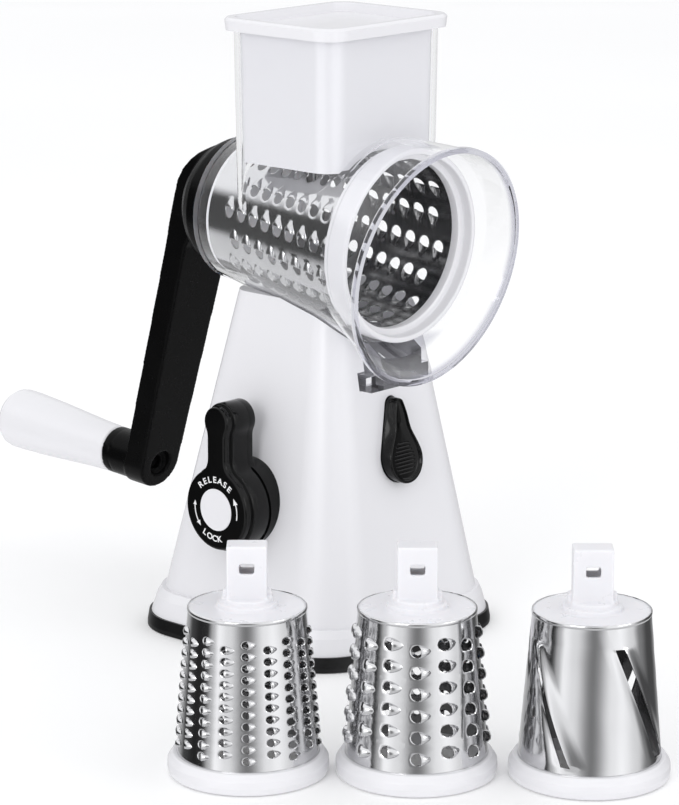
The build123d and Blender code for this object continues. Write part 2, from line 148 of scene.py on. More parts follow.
M_PRINT = moulded("white_print", (0.80, 0.80, 0.81), (0.86, 0.86, 0.87), 0.40, 0.52, grain=5200.0, depth=0.00001)


def steel(name, c0, c1, r0, r1, streak, depth):
    m, nt, p, _ = material(name)
    v = coords(nt)
    soft = noise(nt, v, 26.0, 2.0)
    nt.links.new(two_tone(nt, soft, c0, c1), p.inputs["Base Color"])
    vs = coords(nt, streak)
    fine = noise(nt, vs, 1.0, 3.0, 0.6)
    nt.links.new(spread(nt, fine, r0, r1), p.inputs["Roughness"])
    bump(nt, p, fine, 0.25, depth)
    p.inputs["Metallic"].default_value = 1.0
    return m


M_STEEL = steel("polished_steel", (0.59, 0.59, 0.60), (0.66, 0.66, 0.67), 0.085, 0.16, (900, 900, 60), 0.000006)
# darker steel on the inside of the drum sheets: painted shade inside the drums
M_DRUM_INSIDE_SHADE = steel("drum_inside_painted_shade", (0.26, 0.26, 0.265), (0.34, 0.34, 0.345), 0.13, 0.22, (700, 700, 60), 0.000006)
M_BRIGHT = steel("plated_steel", (0.55, 0.55, 0.56), (0.64, 0.64, 0.65), 0.18, 0.28, (500, 500, 500), 0.00001)


def clear(name):
    """Clear moulded plastic, thin walls: lamps reach what stands behind it."""
    m, nt, p, out = material(name)
    v = coords(nt)
    big = noise(nt, v, 18.0, 2.0)
    thin = two_tone(nt, big, (0.985, 0.988, 0.994), (0.996, 0.997, 0.999))
    # thick places, the rail and the hood's rim, get a grey tint painted in by position: painted shade for the grey look
    # of thick clear plastic
    place = nt.nodes.new("ShaderNodeSeparateXYZ")
    nt.links.new(v, place.inputs[0])

    def calc(op, a, b):
        n = nt.nodes.new("ShaderNodeMath")
        n.operation = op
        for i, x in enumerate((a, b)):
            if isinstance(x, (int, float)):
                n.inputs[i].default_value = x
            else:
                nt.links.new(x, n.inputs[i])
        return n.outputs[0]

    def fall(x, lo, hi):
        n = nt.nodes.new("ShaderNodeMapRange")
        nt.links.new(x, n.inputs["Value"])
        n.inputs["From Min"].default_value = lo
        n.inputs["From Max"].default_value = hi
        n.inputs["To Min"].default_value = 1.0
        n.inputs["To Max"].default_value = 0.0
        return n.outputs["Result"]

    t = math.radians(10.2)
    deep = calc("ADD", calc("MULTIPLY", calc("ADD", place.outputs["Y"], 0.0763), math.cos(t)), calc("MULTIPLY", calc("SUBTRACT", place.outputs["Z"], 0.1872), math.sin(t)))
    rail = calc("MULTIPLY", fall(place.outputs["Z"], 0.1475, 0.1500), calc("SUBTRACT", 1.0, fall(place.outputs["Y"], -0.0545, -0.0530)))
    thick = calc("MAXIMUM", fall(deep, 0.0012, 0.0036), calc("MULTIPLY", rail, 0.5))
    rim_shade_mix = nt.nodes.new("ShaderNodeMix")
    rim_shade_mix.data_type = "RGBA"
    nt.links.new(thick, rim_shade_mix.inputs["Factor"])
    nt.links.new(thin, rim_shade_mix.inputs["A"])
    # colour of the painted grey shade on the rail and the hood's rim
    rim_shade_mix.inputs["B"].default_value = (0.50, 0.50, 0.57, 1)
    nt.links.new(rim_shade_mix.outputs["Result"], p.inputs["Base Color"])
    mid = noise(nt, v, 130.0, 3.0)
    nt.links.new(spread(nt, mid, 0.008, 0.03), p.inputs["Roughness"])
    wave = noise(nt, v, 55.0, 1.0)
    bump(nt, p, wave, 0.25, 0.00006)
    p.inputs["Transmission Weight"].default_value = 1.0
    p.inputs["IOR"].default_value = 1.45
    path = nt.nodes.new("ShaderNodeLightPath")
    thru = nt.nodes.new("ShaderNodeBsdfTransparent")
    thru.inputs["Color"].default_value = (0.985, 0.986, 0.99, 1)
    either = nt.nodes.new("ShaderNodeMath")
    either.operation = "MAXIMUM"
    nt.links.new(path.outputs["Is Diffuse Ray"], either.inputs[0])
    bounced = nt.nodes.new("ShaderNodeMath")
    bounced.operation = "SUBTRACT"
    bounced.use_clamp = True
    nt.links.new(path.outputs["Is Glossy Ray"], bounced.inputs[0])
    nt.links.new(path.outputs["Is Transmission Ray"], bounced.inputs[1])
    nt.links.new(bounced.outputs[0], either.inputs[1])
    straight = nt.nodes.new("ShaderNodeMath")
    straight.operation = "MAXIMUM"
    nt.links.new(path.outputs["Is Shadow Ray"], straight.inputs[0])
    nt.links.new(either.outputs[0], straight.inputs[1])
    mix = nt.nodes.new("ShaderNodeMixShader")
    nt.links.new(straight.outputs[0], mix.inputs[0])
    nt.links.new(p.outputs[0], mix.inputs[1])
    nt.links.new(thru.outputs[0], mix.inputs[2])
    nt.links.new(mix.outputs[0], out.inputs["Surface"])
    return m


M_CLEAR = clear("clear_plastic")

LOOK = {
    "tower_shell": M_WHITE, "base_plate": M_GREY, "base_screws": M_BRIGHT, "suction_foot": M_RUBBER, "lever_collar": M_GLOSS,
    "latch_spring": M_BRIGHT, "clear_housing": M_CLEAR, "suction_lever": M_GLOSS, "lever_cap": M_WHITE, "lever_screw": M_BRIGHT,
    "lever_shaft": M_BRIGHT, "lever_cam": M_GREY, "suction_plunger": M_GREY, "latch_bolt": M_GREY, "release_button": M_GLOSS,
    "latch_pin": M_BRIGHT, "pusher_block": M_WHITE, "pusher_lid": M_WHITE, "crank_arm": M_SATIN, "crank_clip": M_BRIGHT,
    # the handle bolt takes the flat black so that the crank's screw recess shows dark: painted shade in the recess
    "handle_bolt": M_FLAT, "grip": M_WHITE, "grip_cap": M_WHITE,
}
for kind in ("fitted", "fine", "coarse", "slicer"):
    LOOK[kind + "_drum_ring"] = M_WHITE
    LOOK[kind + "_drum_steel"] = M_STEEL
    LOOK[kind + "_drum_hub"] = M_MILKY
for name, obj in NODES.items():
    obj.data.materials.clear()
    obj.data.materials.append(LOOK[name])


# ------------------------------------------------------------------ mesh helpers
def make(name, verts, faces, mat, body, stands_for=(), matrix=None, sharp=32.0, mats=None, face_mat=None):
    """Mesh object from millimetres in a local frame, smooth with sharp edges kept."""
    me = bpy.data.meshes.new(name)
    m = matrix or Matrix.Identity(4)
    co = [tuple((m @ Vector(v)) * MM) for v in verts]
    me.from_pydata(co, [], faces)
    me.validate()
    for x in (mats or [mat]):
        me.materials.append(x)
    if face_mat:
        me.polygons.foreach_set("material_index", face_mat)
    me.polygons.foreach_set("use_smooth", [True] * len(me.polygons))
    me.set_sharp_from_angle(angle=math.radians(sharp))
    me.update()
    o = bpy.data.objects.new(name, me)
    SCENE.collection.objects.link(o)
    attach(o, body)
    if stands_for:
        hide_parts(*stands_for)
    return o


def revolve(profile, n=96, closed=True, phase=0.0):
    """Turns (r, z) points round local z. Returns verts, faces with faces outward for a profile that runs anticlockwise in (r, z)."""
    verts, faces, rings = [], [], []
    for r, z in profile:
        if r < 1e-6:
            rings.append([len(verts)])
            verts.append((0.0, 0.0, z))
        else:
            rings.append(list(range(len(verts), len(verts) + n)))
            verts += [(r * math.cos(phase + 2 * math.pi * i / n), r * math.sin(phase + 2 * math.pi * i / n), z) for i in range(n)]
    pairs = list(zip(rings, rings[1:])) + ([(rings[-1], rings[0])] if closed else [])
    for a, b in pairs:
        for i in range(n):
            j = (i + 1) % n
            q = [a[i % len(a)], a[j % len(a)], b[j % len(b)], b[i % len(b)]]
            q = [k for t, k in enumerate(q) if k not in q[:t]]
            if len(q) > 2:
                faces.append(tuple(q))
    return verts, faces


def rounded(points, radius, steps=4):
    """(r, z) polygon with each corner that has a radius turned into an arc."""
    out, n = [], len(points)
    for i, p in enumerate(points):
        rad = radius[i] if isinstance(radius, (list, tuple)) else radius
        a, b, c = Vector(points[i - 1]), Vector(p), Vector(points[(i + 1) % n])
        if rad <= 0 or p[0] < 1e-6:
            out.append(tuple(p))
            continue
        u, v = (a - b), (c - b)
        lu, lv = u.length, v.length
        if lu < 1e-9 or lv < 1e-9:
            out.append(tuple(p))
            continue
        u, v = u / lu, v / lv
        cosang = max(-1, min(1, u.dot(v)))
        half = math.acos(cosang) / 2
        if half > math.pi / 2 - 0.03:
            out.append(tuple(p))
            continue
        t = min(rad / math.tan(half), lu * 0.48, lv * 0.48)
        r = t * math.tan(half)
        centre = b + (u + v).normalized() * (r / math.sin(half))
        s, e = b + u * t, b + v * t
        a0 = math.atan2(s.y - centre.y, s.x - centre.x)
        a1 = math.atan2(e.y - centre.y, e.x - centre.x)
        d = (a1 - a0 + math.pi) % (2 * math.pi) - math.pi
        for k in range(steps + 1):
            w = a0 + d * k / steps
            out.append((centre.x + r * math.cos(w), centre.y + r * math.sin(w)))
    return out


def soften(name, node, voxel, rounds, mat, body, extra=(), sharp=60.0, keep=1.0):
    """A moulded version of a CAD node: its surface is meshed again with a small grid and its corners are eased."""
    src = NODES[node]
    me = src.data.copy()
    o = bpy.data.objects.new(name, me)
    SCENE.collection.objects.link(o)
    if extra:
        bm = bmesh.new()
        bm.from_mesh(me)
        for verts, faces, m in extra:
            vs = [bm.verts.new((m @ Vector(v)) * MM) for v in verts]
            for f in faces:
                bm.faces.new([vs[i] for i in f])
        bm.to_mesh(me)
        bm.free()
    r = o.modifiers.new("grid", "REMESH")
    r.mode = "VOXEL"
    r.voxel_size = voxel * MM
    s = o.modifiers.new("ease", "SMOOTH")
    s.factor = 0.5
    s.iterations = rounds
    if keep < 1.0:
        d = o.modifiers.new("fewer", "DECIMATE")
        d.ratio = keep
    bpy.context.view_layer.update()
    done = bpy.data.meshes.new_from_object(o.evaluated_get(bpy.context.evaluated_depsgraph_get()))
    o.modifiers.clear()
    o.data = done
    done.materials.clear()
    done.materials.append(mat)
    done.polygons.foreach_set("use_smooth", [True] * len(done.polygons))
    done.set_sharp_from_angle(angle=math.radians(sharp))
    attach(o, body)
    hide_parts(node)
    return o


def box_piece(x0, x1, y0, y1, z0, z1):
    v = [(x, y, z) for z in (z0, z1) for y in (y0, y1) for x in (x0, x1)]
    f = [(0, 2, 3, 1), (4, 5, 7, 6), (0, 1, 5, 4), (2, 6, 7, 3), (0, 4, 6, 2), (1, 3, 7, 5)]
    return v, f


# ------------------------------------------------------------------ frames of the drums
TILT = math.radians(3.4)
CT, ST = math.cos(TILT), math.sin(TILT)
AXIS = Matrix(((1, 0, 0, 0), (0, ST, CT, 0), (0, -CT, ST, 198.6), (0, 0, 0, 1)))
MOUNT = AXIS @ Matrix.Translation((0, 0, -60.0))
LOOSE = {"fine": (-178.2, -124.3), "coarse": (-130.3, -178.7), "slicer": (-82.5, -235.6)}
PLACE = {k: Matrix.Translation((x, y, 0)) @ Matrix.Rotation(math.radians(-47.4), 4, "Z") for k, (x, y) in LOOSE.items()}
PLACE["fitted"] = MOUNT
K = 0.76
FACING = -90.0


class Sheet:
    """Sheet metal cone built from a grid in angle and height, with punched teeth."""

    def __init__(self, r_of):
        self.v, self.f, self.shared, self.r_of = [], [], {}, r_of

    def vert(self, th, z, h=0.0, share=True):
        if share:
            key = (round((th / (2 * math.pi)) % 1.0 * 36000) % 36000, round(z * 500))
            if key in self.shared:
                return self.shared[key]
        r = self.r_of(z) + h
        self.v.append((r * math.cos(th), r * math.sin(th), z))
        k = len(self.v) - 1
        if share:
            self.shared[key] = k
        return k

    def quad(self, *q):
        q = [k for i, k in enumerate(q) if k != q[i - 1]]
        if len(set(q)) > 2:
            self.f.append(tuple(q))

    def tooth(self, thc, zc, half_w, half_p, nu, nv, R, L, D, H, lean=0.0):
        per = [(-1 + 2 * i / nu, -1) for i in range(nu)] + [(1, -1 + 2 * i / nv) for i in range(nv)]
        per += [(1 - 2 * i / nu, 1) for i in range(nu)] + [(-1, 1 - 2 * i / nv) for i in range(nv)]
        r = self.r_of(zc)
        off = -(L - D) / 2.0
        edge = [self.vert(thc + a * half_w, zc + b * half_p) for a, b in per]
        rings = []
        body_s = (0.0, 0.12, 0.3, 0.5, 0.7, 0.86, 1.0)
        for s in body_s:
            ring = []
            for a, b in per:
                w = math.atan2(b, a)
                c, d = math.cos(w), math.sin(w)
                if c >= 0:
                    ru, rv, rh = 0.42 * R * c, R * d, H * math.sqrt(max(0.0, c)) ** 1.2
                    fu, fv = L * c, (R + 0.22) * d * (1 - 0.30 * c)
                    u, v = ru + (fu - ru) * s, rv + (fv - rv) * s
                    h = rh * (1 - s ** 1.7)
                else:
                    ru, rv, rh = D * c, R * d, -0.10 * H * (-c)
                    fu, fv = (D + 0.45) * c, (R + 0.30) * d
                    u, v = ru + (fu - ru) * s, rv + (fv - rv) * s
                    h = rh * (1 - s)
                ring.append(self.vert(thc + (off + u) / r, zc + v + lean * (off + u), h, False))
            rings.append(ring)
        mid = []
        foot = rings[-1]
        for i, (a, b) in enumerate(per):
            x, y, z = self.v[foot[i]]
            th = math.atan2(y, x)
            ex, ey, ez = self.v[edge[i]]
            te = math.atan2(ey, ex)
            dt = (te - th + math.pi) % (2 * math.pi) - math.pi
            mid.append(self.vert(th + dt * 0.4, z + (ez - z) * 0.4, 0.0, False))
        rings += [mid, edge]
        n = len(per)
        for a, b in zip(rings, rings[1:]):
            for i in range(n):
                j = (i + 1) % n
                self.quad(a[i], b[i], b[j], a[j])

    def plain(self, thc, half_w, nu, z0, z1):
        for i in range(nu):
            a, b = thc - half_w + 2 * half_w * i / nu, thc - half_w + 2 * half_w * (i + 1) / nu
            self.quad(self.vert(a, z0), self.vert(b, z0), self.vert(b, z1), self.vert(a, z1))

    def thicken(self, t):
        co = np.array(self.v)
        nrm = np.zeros_like(co)
        for f in self.f:
            p = co[list(f)]
            d1, d2 = p[2] - p[0], (p[3] if len(f) > 3 else p[2]) - p[1]
            if len(f) == 3:
                d1, d2 = p[1] - p[0], p[2] - p[0]
            c = np.cross(d1, d2)
            for k in f:
                nrm[k] += c
        ln = np.linalg.norm(nrm, axis=1)
        ln[ln < 1e-12] = 1
        nrm /= ln[:, None]
        n0 = len(self.v)
        self.outer_faces = len(self.f)
        inner = co - nrm * t
        self.v += [tuple(x) for x in inner]
        edges = {}
        for f in self.f:
            for i in range(len(f)):
                e = (f[i], f[(i + 1) % len(f)])
                edges[e] = edges.get(e, 0) + 1
        rim = [e for e in edges if (e[1], e[0]) not in edges]
        self.f += [tuple(k + n0 for k in reversed(f)) for f in list(self.f)]
        self.f += [(b, a, a + n0, b + n0) for a, b in rim]
        # inner faces take the second material, the darker steel that paints shade inside the drum
        self.mat = [0] * self.outer_faces + [1] * self.outer_faces + [0] * len(rim)


def cone_radius(z0, r0, z1, r1):
    return lambda z: r0 + (r1 - r0) * (z - z0) / (z1 - z0)


def toothed(kind, z0, r0, z1, r1, cols, first, pitch, nv, nu, teeth, R, L, D, H, phase, lip, sheet_t=0.45, twist=0.0):
    """teeth(i) gives, for column i, the level where its first tooth's tile starts and how many teeth there are."""
    S = Sheet(cone_radius(z0, r0, z1, r1))
    half_w = math.pi / cols
    step = pitch / nv
    top_level = int((z1 - first) / step)
    low_level = -int((first - z0) / step)
    zs = lambda l: first + l * step
    for c in range(cols):
        thc = math.radians(FACING + phase) + 2 * half_w * c
        start, count = teeth(c)
        l = low_level
        if zs(l) - z0 > 1e-6:
            S.plain(thc, half_w, nu, z0, zs(l))
        while l < top_level:
            if start <= l < start + count * nv:
                hh = H(zs(l)) if callable(H) else H
                S.tooth(thc, zs(l) + pitch / 2, half_w, pitch / 2, nu, nv, R, L, D, hh)
                l += nv
            else:
                S.plain(thc, half_w, nu, zs(l), zs(l + 1))
                l += 1
        if z1 - zs(l) > 1e-6:
            S.plain(thc, half_w, nu, zs(l), z1)
        if lip:
            rows = lip(r1, z1)
            prev = [S.vert(thc - half_w + 2 * half_w * i / nu, z1) for i in range(nu + 1)]
            for r, z in rows:
                cur = []
                for i in range(nu + 1):
                    th = thc - half_w + 2 * half_w * i / nu
                    cur.append(S.vert(th, z, r - S.r_of(z)))
                for i in range(nu):
                    S.quad(prev[i], prev[i + 1], cur[i + 1], cur[i])
                prev = cur
    if twist:
        # rows slant a little: down towards the mouth on both sides
        for k, (x, y, z) in enumerate(S.v):
            r, th = math.hypot(x, y), math.atan2(y, x)
            th -= math.radians(twist) * (z - 60.0) * math.cos(th)
            S.v[k] = (r * math.cos(th), r * math.sin(th), z)
    S.thicken(sheet_t)
    return S


def loose_lip(r1, z1):
    return [(r1 + 0.22, z1 + 0.25), (r1 + 0.30, z1 + 0.9), (r1 + 0.24, z1 + 1.5), (r1 + 0.02, z1 + 1.78), (r1 - 0.32, z1 + 1.86)]


RZ0, RR0, RZ1, RR1 = 6.0, 31.08, 72.2, 25.46

fine = toothed("fine", RZ0 + 0.02, RR0, RZ1, RR1, 18, 14.2 - 2.5, 5.0, 4, 6,
               lambda c: (0, 11) if c % 2 == 0 else (2, 10), 1.75, 4.1, 2.2, 1.6, 3.0, loose_lip)
make("fine_drum_sheet", fine.v, fine.f, M_STEEL, "fine_drum", ["fine_drum_steel"], PLACE["fine"], 40, [M_STEEL, M_DRUM_INSIDE_SHADE], fine.mat)

coarse = toothed("coarse", RZ0 + 0.02, RR0, RZ1, RR1, 14, 15.6 - 4.65, 9.3, 4, 8,
                 lambda c: (0, 6) if c % 2 == 0 else (1, 6), 2.75, 5.4, 3.3, 2.3, 2.3, loose_lip)
make("coarse_drum_sheet", coarse.v, coarse.f, M_STEEL, "coarse_drum", ["coarse_drum_steel"], PLACE["coarse"], 40, [M_STEEL, M_DRUM_INSIDE_SHADE], coarse.mat)

fitted = toothed("fitted", 8.02, 40.9, 100.0, 33.5, 16, 17.0 - 4.3, 8.6, 4, 8,
                 lambda c: (0, 9) if c % 2 == 0 else (2, 8), 3.0, 6.0, 4.2, lambda z: 1.05 + 0.75 * (100.0 - z) / 92.0, 9.5, None, twist=0.14)
make("fitted_drum_sheet", fitted.v, fitted.f, M_STEEL, "fitted_drum", ["fitted_drum_steel"], PLACE["fitted"], 40, [M_STEEL, M_DRUM_INSIDE_SHADE], fitted.mat)


def slicer_sheet():
    z0, z1 = RZ0 + 0.02, RZ1
    r_of = cone_radius(z0, RR0, z1, RR1)
    S = Sheet(r_of)
    zc, half = 37.8, 25.5
    slope = -math.tan(math.radians(23.0))
    us = [-22.0, -16, -11, -8.8, -7.0, -5.6, -4.9, -4.3, 0.0, 0.25, 1.2, 2.4, 3.8, 5.4, 7.2, 9.2, 12.5, 17, 22.0]
    vs = [z0, z0 + 1.5, zc - half - 1.6, zc - half - 0.5, zc - half, zc - half + 0.8, zc - half + 1.8, zc - half + 3.2, zc - half + 5.2]
    vs += [zc - half + 5.2 + (2 * half - 10.4) * i / 14 for i in range(1, 14)]
    vs += [2 * zc - v for v in reversed(vs[4:9])] + [zc + half + 0.5, zc + half + 1.6, z1 - 4.5, z1 - 2.0, z1 - 1.0, z1]
    vs = sorted(set(round(v, 4) for v in vs))
    lip = loose_lip(RR1, z1)
    r_mid = r_of(zc)

    def ease(x):
        x = max(0.0, min(1.0, x))
        return x * x * (3 - 2 * x)

    def rise(u, v):
        d = half - abs(v - zc)
        along = ease((d + 1.4) / 3.4)
        if u >= 0:
            t = min(1.0, u / 6.0)
            return 1.25 * along * (1 - ease(t) ** 0.85)
        if u > -8.0:
            return -0.5 * ease((d + 1.0) / 3.0) * (1 - ease((-u - 4.3) / 3.7))
        return 0.0

    for q in range(4):
        base = math.radians(FACING - 41.0 + 90.0 * q)
        last = (q + 1) % 4
        grid = {}
        for i, u in enumerate(us):
            for j, v in enumerate(vs):
                if i in (0, len(us) - 1):
                    side = -1 if i == 0 else 1
                    th = base + side * math.pi / 4 + slope * (v - zc) / r_mid
                    grid[i, j] = S.vert(th, v, 0.0)
                else:
                    scale = (math.pi / 4 * r_mid) / 22.0
                    uu = u * (1 if abs(u) < 10 else 1 + (scale - 1) * (abs(u) - 10) / 12.0)
                    th = base + uu / r_mid + slope * (v - zc) / r_mid
                    share = j == len(vs) - 1
                    grid[i, j] = S.vert(th, v, 0.0 if share else rise(u, v), share)
        for i in range(len(us) - 1):
            for j in range(len(vs) - 1):
                um, vm = (us[i] + us[i + 1]) / 2, (vs[j] + vs[j + 1]) / 2
                if -4.3 < um < 0.0 and abs(vm - zc) < half:
                    continue
                S.quad(grid[i, j], grid[i + 1, j], grid[i + 1, j + 1], grid[i, j + 1])
        top = len(vs) - 1
        prev = [grid[i, top] for i in range(len(us))]
        ths = [math.atan2(S.v[k][1], S.v[k][0]) for k in prev]
        for r, z in lip:
            cur = [S.vert(t, z, r - r_of(z)) for t in ths]
            for i in range(len(us) - 1):
                S.quad(prev[i], prev[i + 1], cur[i + 1], cur[i])
            prev = cur
    S.thicken(0.5)
    return S


slicer = slicer_sheet()
make("slicer_drum_sheet", slicer.v, slicer.f, M_STEEL, "slicer_drum", ["slicer_drum_steel"], PLACE["slicer"], 35, [M_STEEL, M_DRUM_INSIDE_SHADE], slicer.mat)

# ------------------------------------------------------------------ drum rings
for kind in LOOSE:
    H, R = 9.24, 34.96
    inner = RR0 - 0.7
    prof = rounded([(inner, 0.0), (R - 0.5, 0.0), (R, 3.0), (R - 0.15, H * 0.66), (R - 1.35, H * 0.84), (R - 2.2, H), (30.86, H), (inner, H - 3.2)],
                   [0.3, 1.2, 1.0, 1.2, 0.9, 0.9, 0.1, 0.1], 4)
    v, f = revolve(prof, 128)
    make(kind + "_drum_ring_moulded", v, f, M_WHITE, kind + "_drum", [kind + "_drum_ring"], PLACE[kind], 40)
prof = rounded([(43.3, 0.0), (46.0, 0.0), (46.0, 10.0), (44.4, 12.2), (44.3, 14.0), (40.45, 14.0), (40.15, 8.0), (40.3, 6.2), (41.5, 5.6), (42.9, 5.2), (43.1, 4.2)],
               [0.9, 1.2, 1.0, 0.6, 0.5, 0.05, 0.05, 0.4, 0.4, 0.5, 0.3], 4)
v, f = revolve(prof, 160)
make("fitted_drum_ring_moulded", v, f, M_WHITE, "fitted_drum", ["fitted_drum_ring"], PLACE["fitted"], 40)

# ------------------------------------------------------------------ drum hubs
for kind in LOOSE:
    t0 = 78.4
    ears = []
    for s in (-1, 1):
        v, f = box_piece(min(s * 8.2, s * 10.5), max(s * 8.2, s * 10.5), -2.6, 2.6, t0 - 0.6, t0 + 3.0)
        ears.append((v, f, PLACE[kind]))
    soften(kind + "_drum_hub_moulded", kind + "_drum_hub", 0.5, 3, M_MILKY, kind + "_drum", ears, sharp=180)

# ------------------------------------------------------------------ crank
soften("crank_arm_moulded", "crank_arm", 0.6, 5, M_SATIN, "crank", sharp=180)


# ------------------------------------------------------------------ suction lever
LX, LZ = -71.5, 70.8


def lever_outline():
    """Points of half the outline seen from outside, right then up, from the bottom of the disc to the top of the arm."""
    R, neck, tr, tz = 21.0, 7.0, 8.9, 42.3
    rf = 7.0
    cz = math.sqrt((R + rf) ** 2 - (neck + rf) ** 2)
    a0 = math.atan2(cz, neck + rf)
    pts = []
    for i in range(41):
        w = -math.pi / 2 + (a0 + math.pi / 2) * i / 40
        pts.append((R * math.cos(w), R * math.sin(w)))
    for i in range(1, 11):
        w = a0 + math.pi + (math.pi - (a0 + math.pi)) * i / 10
        pts.append((neck + rf + rf * math.cos(w), cz + rf * math.sin(w)))
    r2 = 8.0
    c2 = tz - math.sqrt((tr + r2) ** 2 - (neck + r2) ** 2)
    w1 = math.atan2(tz - c2, -(neck + r2))
    for i in range(1, 4):
        pts.append((neck, cz + (c2 - cz) * i / 3))
    for i in range(1, 9):
        w = math.pi + (w1 - math.pi) * i / 8
        pts.append((neck + r2 + r2 * math.cos(w), c2 + r2 * math.sin(w)))
    b = math.atan2(c2 + r2 * math.sin(w1) - tz, neck + r2 + r2 * math.cos(w1))
    for i in range(1, 21):
        w = b + (math.pi / 2 - b) * i / 20
        pts.append((tr * math.cos(w), tz + tr * math.sin(w)))
    return pts


def shift_in(pts, d):
    """Closed outline moved inward by d; the outline runs anticlockwise."""
    n, out = len(pts), []
    for i in range(n):
        a, b, c = Vector(pts[i - 1]), Vector(pts[i]), Vector(pts[(i + 1) % n])
        t = ((b - a).normalized() + (c - b).normalized()).normalized()
        out.append((b.x - t.y * d, b.y + t.x * d))
    return out


half = lever_outline()
outline = half + [(-x, y) for x, y in reversed(half[1:-1])]
n = len(outline)
verts, faces, fmat = [], [], []
layers = [(-56.4, 0.6), (-56.6, 0.15), (-57.2, 0.0), (-66.5, 0.0), (-67.0, 0.10), (-67.35, 0.38), (-67.45, 0.75), (-67.4, 1.02), (-67.6, 1.18),
          (-68.2, 1.24), (-70.1, 1.26), (-70.8, 1.38), (-71.25, 1.68), (-71.45, 2.1), (LX, 2.6)]
for x, d in layers:
    for r, u in shift_in(outline, d) if d else outline:
        verts.append((x, -r, LZ + u))
for k in range(len(layers) - 1):
    for i in range(n):
        j = (i + 1) % n
        faces.append((k * n + i, (k + 1) * n + i, (k + 1) * n + j, k * n + j))
        fmat.append(0)
faces.append(tuple(reversed(range((len(layers) - 1) * n, len(layers) * n))))
fmat.append(1)
faces.append(tuple(range(n)))
fmat.append(0)
# the arm is deeper than the disc: a second block behind the neck and tip
arm = [(r, u) for r, u in outline if u > 19.5]
m0 = len(verts)
arm_layers = [(-53.2, 0.7), (-53.4, 0.2), (-54.0, 0.0), (-57.3, 0.0)]
lo_u = 17.0
arm = [(-arm[-1][0] if False else arm[-1][0], lo_u)] + arm if False else arm
ring = arm + [(-8.2, 17.5), (8.2, 17.5)]
k0 = len(ring)
for x, d in arm_layers:
    for r, u in (shift_in(ring, d) if d else ring):
        verts.append((x, -r, LZ + u))
for k in range(len(arm_layers) - 1):
    for i in range(k0):
        j = (i + 1) % k0
        faces.append((m0 + k * k0 + i, m0 + (k + 1) * k0 + i, m0 + (k + 1) * k0 + j, m0 + k * k0 + j))
        fmat.append(0)
faces.append(tuple(range(m0, m0 + k0)))
fmat.append(0)
make("suction_lever_moulded", verts, faces, M_GLOSS, "lever", ["suction_lever"], None, 30, [M_GLOSS, M_FLAT], fmat)

cap = rounded([(0.0, -69.0), (10.2, -69.0), (10.2, -71.75), (9.6, -71.9), (0.0, -71.95)], [0, 0, 0.25, 0.2, 0], 3)
v, f = revolve(cap, 96, closed=False)
v = [(z, x, y + LZ) for x, y, z in v]
make("lever_cap_moulded", v, f, M_WHITE, "lever", ["lever_cap"], None, 40)


def face_point(r, u, proud):
    return (LX - proud, -r, LZ + u)


def print_piece(name, flat_polys, thick=0.10):
    """Thin raised print on the lever's face from polygons in (right, up) millimetres."""
    verts, faces = [], []
    for poly in flat_polys:
        k = len(poly)
        b = len(verts)
        verts += [face_point(r, u, -0.05) for r, u in poly] + [face_point(r, u, thick) for r, u in poly]
        faces.append(tuple(b + k + i for i in range(k)))
        for i in range(k):
            j = (i + 1) % k
            faces.append((b + i, b + j, b + k + j, b + k + i))
    return make(name, verts, faces, M_PRINT, "lever", (), None, 30)


def letters(name, text, size, radius, a0, a1, inward):
    """Word along an arc round the cap, angles in degrees clockwise from the top."""
    parts = []
    for i, ch in enumerate(text):
        a = math.radians(a0 + (a1 - a0) * i / (len(text) - 1))
        cu = bpy.data.curves.new(name + ch + str(i), "FONT")
        cu.body = ch
        cu.size = size
        cu.align_x = "CENTER"
        cu.align_y = "CENTER"
        cu.extrude = 0.07
        cu.offset = 0.085
        cu.resolution_u = 6
        tmp = bpy.data.objects.new(name + "_tmp", cu)
        SCENE.collection.objects.link(tmp)
        bpy.context.view_layer.update()
        me = bpy.data.meshes.new_from_object(tmp.evaluated_get(bpy.context.evaluated_depsgraph_get()))
        bpy.data.objects.remove(tmp)
        bpy.data.curves.remove(cu)
        xs = [v.co.x for v in me.vertices]
        mx = (max(xs) + min(xs)) / 2
        up = Vector((math.sin(a), math.cos(a)))
        right = Vector((math.cos(a), -math.sin(a)))
        if inward:
            up, right = -up, -right
        c = Vector((math.sin(a), math.cos(a))) * radius
        vs = []
        for v in me.vertices:
            p = c + right * (v.co.x - mx) * 1.12 + up * v.co.y
            vs.append(face_point(p.x, p.y, v.co.z + 0.04))
        parts.append((vs, [tuple(p.vertices) for p in me.polygons]))
        bpy.data.meshes.remove(me)
    verts, faces = [], []
    for vs, fs in parts:
        b = len(verts)
        verts += vs
        faces += [tuple(b + k for k in f) for f in fs]
    return make(name, verts, faces, M_PRINT, "lever", (), None, 30)


letters("print_release", "RELEASE", 4.2, 14.5, -42.0, 38.0, False)
letters("print_lock", "LOCK", 4.2, 14.3, 211.0, 170.0, True)

# the latch spring shortens between the tower's shelf and the bolt; a plain copy of its mesh stands in for it
coil = bpy.data.objects.new("latch_coil", NODES["latch_spring"].data.copy())
bpy.context.scene.collection.objects.link(coil)
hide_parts("latch_spring")
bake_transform(coil)


